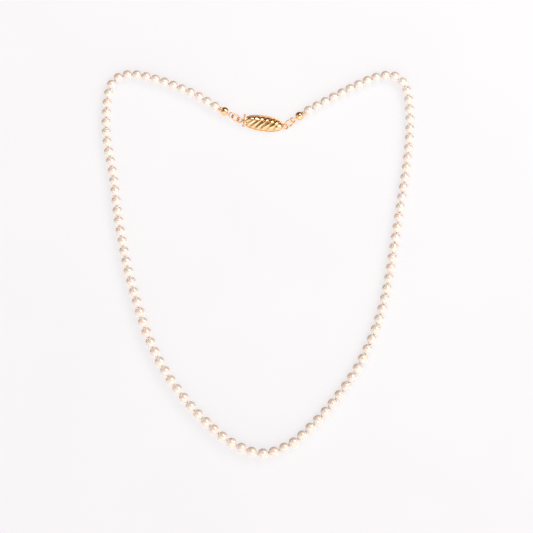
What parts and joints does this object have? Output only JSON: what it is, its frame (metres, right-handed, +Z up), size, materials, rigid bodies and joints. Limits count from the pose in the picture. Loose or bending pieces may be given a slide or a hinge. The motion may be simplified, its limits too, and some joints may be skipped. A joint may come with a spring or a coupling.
{
  "type": "pearl necklace",
  "caption": "Single strand of graduated round white pearls on silk, with a fluted gold box clasp, laid flat in a loop for wearing round the neck",
  "frame": {"origin": "under the middle of the loop, on the plane that the necklace lies on", "axes": "+Z up from that plane, +Y from the front pearls to the clasp, +X to the right when the clasp is at the top"},
  "size_m": [0.1223, 0.1516, 0.0042],
  "materials": {
    "pearl": "lustrous nacre",
    "gold": "polished",
    "silk": "twisted silk thread"
  },
  "bodies": {
    "clasp_housing": {"clasp_back_plate": "gold", "clasp_front_shell": "gold", "clasp_catch_bar": "gold", "housing_ring": "gold"},
    "clasp_tongue": {"tongue_base_leaf": "gold", "tongue_ring": "gold"},
    "tongue_leaf": {"tongue_spring_leaf": "gold"},
    "left_jump_ring": {"jump_ring_left": "gold"},
    "left_bead_tip": {"bead_tip_left": "gold", "thread_knot_left": "silk"},
    "left_section_01": {"strand_left_01": "pearl"},
    "left_section_02": {"strand_left_02": "pearl"},
    "left_section_03": {"strand_left_03": "pearl"},
    "left_section_04": {"strand_left_04": "pearl"},
    "left_section_05": {"strand_left_05": "pearl"},
    "left_section_06": {"strand_left_06": "pearl"},
    "left_section_07": {"strand_left_07": "pearl"},
    "left_section_08": {"strand_left_08": "pearl"},
    "left_section_09": {"strand_left_09": "pearl"},
    "left_section_10": {"strand_left_10": "pearl"},
    "left_section_11": {"strand_left_11": "pearl"},
    "left_section_12": {"strand_left_12": "pearl"},
    "left_section_13": {"strand_left_13": "pearl"},
    "left_section_14": {"strand_left_14": "pearl"},
    "left_section_15": {"strand_left_15": "pearl"},
    "left_section_16": {"strand_left_16": "pearl"},
    "left_section_17": {"strand_left_17": "pearl"},
    "left_section_18": {"strand_left_18": "pearl"},
    "left_section_19": {"strand_left_19": "pearl"},
    "right_jump_ring": {"jump_ring_right": "gold"},
    "right_bead_tip": {"bead_tip_right": "gold", "thread_knot_right": "silk"},
    "right_section_01": {"strand_right_01": "pearl"},
    "right_section_02": {"strand_right_02": "pearl"},
    "right_section_03": {"strand_right_03": "pearl"},
    "right_section_04": {"strand_right_04": "pearl"},
    "right_section_05": {"strand_right_05": "pearl"},
    "right_section_06": {"strand_right_06": "pearl"},
    "right_section_07": {"strand_right_07": "pearl"},
    "right_section_08": {"strand_right_08": "pearl"},
    "right_section_09": {"strand_right_09": "pearl"},
    "right_section_10": {"strand_right_10": "pearl"},
    "right_section_11": {"strand_right_11": "pearl"},
    "right_section_12": {"strand_right_12": "pearl"},
    "right_section_13": {"strand_right_13": "pearl"},
    "right_section_14": {"strand_right_14": "pearl"},
    "right_section_15": {"strand_right_15": "pearl"},
    "right_section_16": {"strand_right_16": "pearl"},
    "right_section_17": {"strand_right_17": "pearl"},
    "right_section_18": {"strand_right_18": "pearl"},
    "right_section_19": {"strand_right_19": "pearl"}
  },
  "joints": [
    {"name": "clasp_tongue_slide", "type": "slide", "parent": "clasp_housing", "child": "clasp_tongue", "axis": [-0.9903, 0.1392, 0], "range_m": [0, 0.012]},
    {"name": "thumb_bar_press", "type": "hinge", "parent": "clasp_tongue", "child": "tongue_leaf", "pos_m": [0.00646, 0.05444, 0.00097], "axis": [-0.1392, -0.9903, 0], "range_deg": [0, 2], "stiffness_Nm_per_rad": 0.02},
    {"name": "left_ring_swing", "type": "hinge", "parent": "clasp_tongue", "child": "left_jump_ring", "pos_m": [-0.00721, 0.05636, 0.0011], "axis": [0, 0, 1], "range_deg": [-1.22, 1.22]},
    {"name": "left_loop_swing", "type": "hinge", "parent": "left_jump_ring", "child": "left_bead_tip", "pos_m": [-0.01039, 0.05819, 0.0017], "axis": [0, 0, 1], "range_deg": [-2.87, 2.87]},
    {"name": "left_tip_bend", "type": "hinge", "parent": "left_bead_tip", "child": "left_section_01", "pos_m": [-0.01518, 0.06074, 0.0018], "axis": [0, 0, 1], "range_deg": [-5.82, 0.06]},
    {"name": "left_bend_02", "type": "hinge", "parent": "left_section_01", "child": "left_section_02", "pos_m": [-0.0247, 0.06621, 0.0018], "axis": [0, 0, 1], "range_deg": [-1.22, 1.22]},
    {"name": "left_bend_03", "type": "hinge", "parent": "left_section_02", "child": "left_section_03", "pos_m": [-0.03484, 0.07048, 0.00181], "axis": [0, 0, 1], "range_deg": [-14.34, 14.34]},
    {"name": "left_bend_04", "type": "hinge", "parent": "left_section_03", "child": "left_section_04", "pos_m": [-0.04546, 0.07354, 0.00182], "axis": [0, 0, 1], "range_deg": [-0.02, 1.22]},
    {"name": "left_bend_05", "type": "hinge", "parent": "left_section_04", "child": "left_section_05", "pos_m": [-0.05276, 0.07336, 0.00183], "axis": [0, 0, 1], "range_deg": [-13.83, 13.83]},
    {"name": "left_bend_06", "type": "hinge", "parent": "left_section_05", "child": "left_section_06", "pos_m": [-0.05775, 0.06836, 0.00184], "axis": [0, 0, 1], "range_deg": [-1.23, 1.23]},
    {"name": "left_bend_07", "type": "hinge", "parent": "left_section_06", "child": "left_section_07", "pos_m": [-0.05902, 0.06099, 0.00186], "axis": [0, 0, 1], "range_deg": [-0.04, 3.85]},
    {"name": "left_bend_08", "type": "hinge", "parent": "left_section_07", "child": "left_section_08", "pos_m": [-0.05923, 0.05342, 0.00187], "axis": [0, 0, 1], "range_deg": [-6.15, 6.15]},
    {"name": "left_bend_09", "type": "hinge", "parent": "left_section_08", "child": "left_section_09", "pos_m": [-0.0579, 0.04203, 0.0019], "axis": [0, 0, 1], "range_deg": [-1.23, 1.23]},
    {"name": "left_bend_10", "type": "hinge", "parent": "left_section_09", "child": "left_section_10", "pos_m": [-0.05602, 0.03054, 0.00192], "axis": [0, 0, 1], "range_deg": [-0.02, 1.69]},
    {"name": "loop_spread", "type": "hinge", "parent": "left_section_10", "child": "left_section_11", "pos_m": [-0.05462, 0.01881, 0.00195], "axis": [0, 0, 1], "range_deg": [-11.07, 11.07]},
    {"name": "left_bend_12", "type": "hinge", "parent": "left_section_11", "child": "left_section_12", "pos_m": [-0.05264, 0.00699, 0.00198], "axis": [0, 0, 1], "range_deg": [-1.43, 1.43]},
    {"name": "left_bend_13", "type": "hinge", "parent": "left_section_12", "child": "left_section_13", "pos_m": [-0.05007, -0.00488, 0.00201], "axis": [0, 0, 1], "range_deg": [-0.03, 2.08]},
    {"name": "left_bend_14", "type": "hinge", "parent": "left_section_13", "child": "left_section_14", "pos_m": [-0.04673, -0.01674, 0.00204], "axis": [0, 0, 1], "range_deg": [-2.5, 2.5]},
    {"name": "loop_sway", "type": "hinge", "parent": "left_section_14", "child": "left_section_15", "pos_m": [-0.04276, -0.02855, 0.00206], "axis": [0, 0, 1], "range_deg": [-9.09, 9.09]},
    {"name": "left_bend_16", "type": "hinge", "parent": "left_section_15", "child": "left_section_16", "pos_m": [-0.0373, -0.0399, 0.00208], "axis": [0, 0, 1], "range_deg": [-0.05, 4.49]},
    {"name": "left_bend_17", "type": "hinge", "parent": "left_section_16", "child": "left_section_17", "pos_m": [-0.03025, -0.05046, 0.0021], "axis": [0, 0, 1], "range_deg": [-4.8, 4.8]},
    {"name": "left_bend_18", "type": "hinge", "parent": "left_section_17", "child": "left_section_18", "pos_m": [-0.02185, -0.06011, 0.00211], "axis": [0, 0, 1], "range_deg": [-7.35, 7.35]},
    {"name": "left_bend_19", "type": "hinge", "parent": "left_section_18", "child": "left_section_19", "pos_m": [-0.01212, -0.06849, 0.00212], "axis": [0, 0, 1], "range_deg": [-3.15, 0.04]},
    {"name": "right_ring_swing", "type": "hinge", "parent": "clasp_housing", "child": "right_jump_ring", "pos_m": [0.01072, 0.05384, 0.0011], "axis": [0, 0, 1], "range_deg": [-1.23, 1.23]},
    {"name": "right_loop_swing", "type": "hinge", "parent": "right_jump_ring", "child": "right_bead_tip", "pos_m": [0.01356, 0.05621, 0.0017], "axis": [0, 0, 1], "range_deg": [-3.54, 3.54]},
    {"name": "right_tip_bend", "type": "hinge", "parent": "right_bead_tip", "child": "right_section_01", "pos_m": [0.01816, 0.05909, 0.0018], "axis": [0, 0, 1], "range_deg": [-0.09, 8.17]},
    {"name": "right_bend_02", "type": "hinge", "parent": "right_section_01", "child": "right_section_02", "pos_m": [0.0278, 0.06434, 0.0018], "axis": [0, 0, 1], "range_deg": [-3.17, 3.17]},
    {"name": "right_bend_03", "type": "hinge", "parent": "right_section_02", "child": "right_section_03", "pos_m": [0.03762, 0.06934, 0.00181], "axis": [0, 0, 1], "range_deg": [-14.35, 14.35]},
    {"name": "right_bend_04", "type": "hinge", "parent": "right_section_03", "child": "right_section_04", "pos_m": [0.0479, 0.0733, 0.00182], "axis": [0, 0, 1], "range_deg": [-1.48, 0.02]},
    {"name": "right_bend_05", "type": "hinge", "parent": "right_section_04", "child": "right_section_05", "pos_m": [0.05488, 0.07222, 0.00183], "axis": [0, 0, 1], "range_deg": [-11.65, 11.65]},
    {"name": "right_bend_06", "type": "hinge", "parent": "right_section_05", "child": "right_section_06", "pos_m": [0.05844, 0.06593, 0.00184], "axis": [0, 0, 1], "range_deg": [-1.46, 1.46]},
    {"name": "right_bend_07", "type": "hinge", "parent": "right_section_06", "child": "right_section_07", "pos_m": [0.05924, 0.05847, 0.00186], "axis": [0, 0, 1], "range_deg": [-4.9, 0.05]},
    {"name": "right_bend_08", "type": "hinge", "parent": "right_section_07", "child": "right_section_08", "pos_m": [0.05915, 0.05089, 0.00187], "axis": [0, 0, 1], "range_deg": [-9.48, 9.48]},
    {"name": "right_bend_09", "type": "hinge", "parent": "right_section_08", "child": "right_section_09", "pos_m": [0.0581, 0.03946, 0.0019], "axis": [0, 0, 1], "range_deg": [-3.97, 3.97]},
    {"name": "right_bend_10", "type": "hinge", "parent": "right_section_09", "child": "right_section_10", "pos_m": [0.05644, 0.02794, 0.00192], "axis": [0, 0, 1], "range_deg": [-1.56, 0.02]},
    {"name": "right_bend_11", "type": "hinge", "parent": "right_section_10", "child": "right_section_11", "pos_m": [0.05459, 0.01627, 0.00195], "axis": [0, 0, 1], "range_deg": [-9.25, 9.25]},
    {"name": "right_bend_12", "type": "hinge", "parent": "right_section_11", "child": "right_section_12", "pos_m": [0.05271, 0.00443, 0.00198], "axis": [0, 0, 1], "range_deg": [-6.32, 6.32]},
    {"name": "right_bend_13", "type": "hinge", "parent": "right_section_12", "child": "right_section_13", "pos_m": [0.0507, -0.00755, 0.00201], "axis": [0, 0, 1], "range_deg": [-4.49, 0.05]},
    {"name": "right_bend_14", "type": "hinge", "parent": "right_section_13", "child": "right_section_14", "pos_m": [0.04782, -0.01952, 0.00204], "axis": [0, 0, 1], "range_deg": [-6.47, 6.47]},
    {"name": "right_bend_15", "type": "hinge", "parent": "right_section_14", "child": "right_section_15", "pos_m": [0.04355, -0.03122, 0.00206], "axis": [0, 0, 1], "range_deg": [-7.23, 7.23]},
    {"name": "right_bend_16", "type": "hinge", "parent": "right_section_15", "child": "right_section_16", "pos_m": [0.03777, -0.04241, 0.00208], "axis": [0, 0, 1], "range_deg": [-3.16, 0.04]},
    {"name": "right_bend_17", "type": "hinge", "parent": "right_section_16", "child": "right_section_17", "pos_m": [0.03039, -0.05275, 0.0021], "axis": [0, 0, 1], "range_deg": [-5.33, 5.33]},
    {"name": "right_bend_18", "type": "hinge", "parent": "right_section_17", "child": "right_section_18", "pos_m": [0.02188, -0.06231, 0.00211], "axis": [0, 0, 1], "range_deg": [-6.36, 6.36]},
    {"name": "right_bend_19", "type": "hinge", "parent": "right_section_18", "child": "right_section_19", "pos_m": [0.01208, -0.07055, 0.00212], "axis": [0, 0, 1], "range_deg": [-0.03, 2.68]}
  ],
  "couplings": [
    {"joint": "left_ring_swing", "follows": "loop_spread", "ratio": 0.10738},
    {"joint": "left_loop_swing", "follows": "loop_sway", "ratio": 0.30853},
    {"joint": "left_tip_bend", "follows": "clasp_tongue_slide", "rad_per_m": -8.3781},
    {"joint": "left_bend_02", "follows": "loop_spread", "ratio": 0.10775},
    {"joint": "left_bend_03", "follows": "loop_sway", "ratio": -1.5464},
    {"joint": "left_bend_04", "follows": "clasp_tongue_slide", "rad_per_m": 1.7428},
    {"joint": "left_bend_05", "follows": "loop_spread", "ratio": -1.2241},
    {"joint": "left_bend_06", "follows": "loop_sway", "ratio": -0.13175},
    {"joint": "left_bend_07", "follows": "clasp_tongue_slide", "rad_per_m": 5.5289},
    {"joint": "left_bend_08", "follows": "loop_spread", "ratio": 0.54397},
    {"joint": "left_bend_09", "follows": "loop_sway", "ratio": -0.13192},
    {"joint": "left_bend_10", "follows": "clasp_tongue_slide", "rad_per_m": 2.4231},
    {"joint": "left_bend_12", "follows": "loop_sway", "ratio": 0.15397},
    {"joint": "left_bend_13", "follows": "clasp_tongue_slide", "rad_per_m": 2.9837},
    {"joint": "left_bend_14", "follows": "loop_spread", "ratio": -0.22044},
    {"joint": "left_bend_16", "follows": "clasp_tongue_slide", "rad_per_m": 6.4528},
    {"joint": "left_bend_17", "follows": "loop_spread", "ratio": -0.42498},
    {"joint": "left_bend_18", "follows": "loop_sway", "ratio": 0.79188},
    {"joint": "left_bend_19", "follows": "clasp_tongue_slide", "rad_per_m": -4.5203},
    {"joint": "right_ring_swing", "follows": "loop_spread", "ratio": 0.10821},
    {"joint": "right_loop_swing", "follows": "loop_sway", "ratio": 0.38131},
    {"joint": "right_tip_bend", "follows": "clasp_tongue_slide", "rad_per_m": 11.763},
    {"joint": "right_bend_02", "follows": "loop_spread", "ratio": -0.2799},
    {"joint": "right_bend_03", "follows": "loop_sway", "ratio": -1.5469},
    {"joint": "right_bend_04", "follows": "clasp_tongue_slide", "rad_per_m": -2.124},
    {"joint": "right_bend_05", "follows": "loop_spread", "ratio": 1.0317},
    {"joint": "right_bend_06", "follows": "loop_sway", "ratio": -0.15727},
    {"joint": "right_bend_07", "follows": "clasp_tongue_slide", "rad_per_m": -7.0484},
    {"joint": "right_bend_08", "follows": "loop_spread", "ratio": -0.83919},
    {"joint": "right_bend_09", "follows": "loop_sway", "ratio": -0.42794},
    {"joint": "right_bend_10", "follows": "clasp_tongue_slide", "rad_per_m": -2.2362},
    {"joint": "right_bend_11", "follows": "loop_spread", "ratio": -0.81842},
    {"joint": "right_bend_12", "follows": "loop_sway", "ratio": 0.68077},
    {"joint": "right_bend_13", "follows": "clasp_tongue_slide", "rad_per_m": -6.4506},
    {"joint": "right_bend_14", "follows": "loop_spread", "ratio": 0.57238},
    {"joint": "right_bend_15", "follows": "loop_sway", "ratio": 0.77959},
    {"joint": "right_bend_16", "follows": "clasp_tongue_slide", "rad_per_m": -4.5446},
    {"joint": "right_bend_17", "follows": "loop_spread", "ratio": 0.47147},
    {"joint": "right_bend_18", "follows": "loop_sway", "ratio": 0.68499},
    {"joint": "right_bend_19", "follows": "clasp_tongue_slide", "rad_per_m": 3.8487}
  ]
}
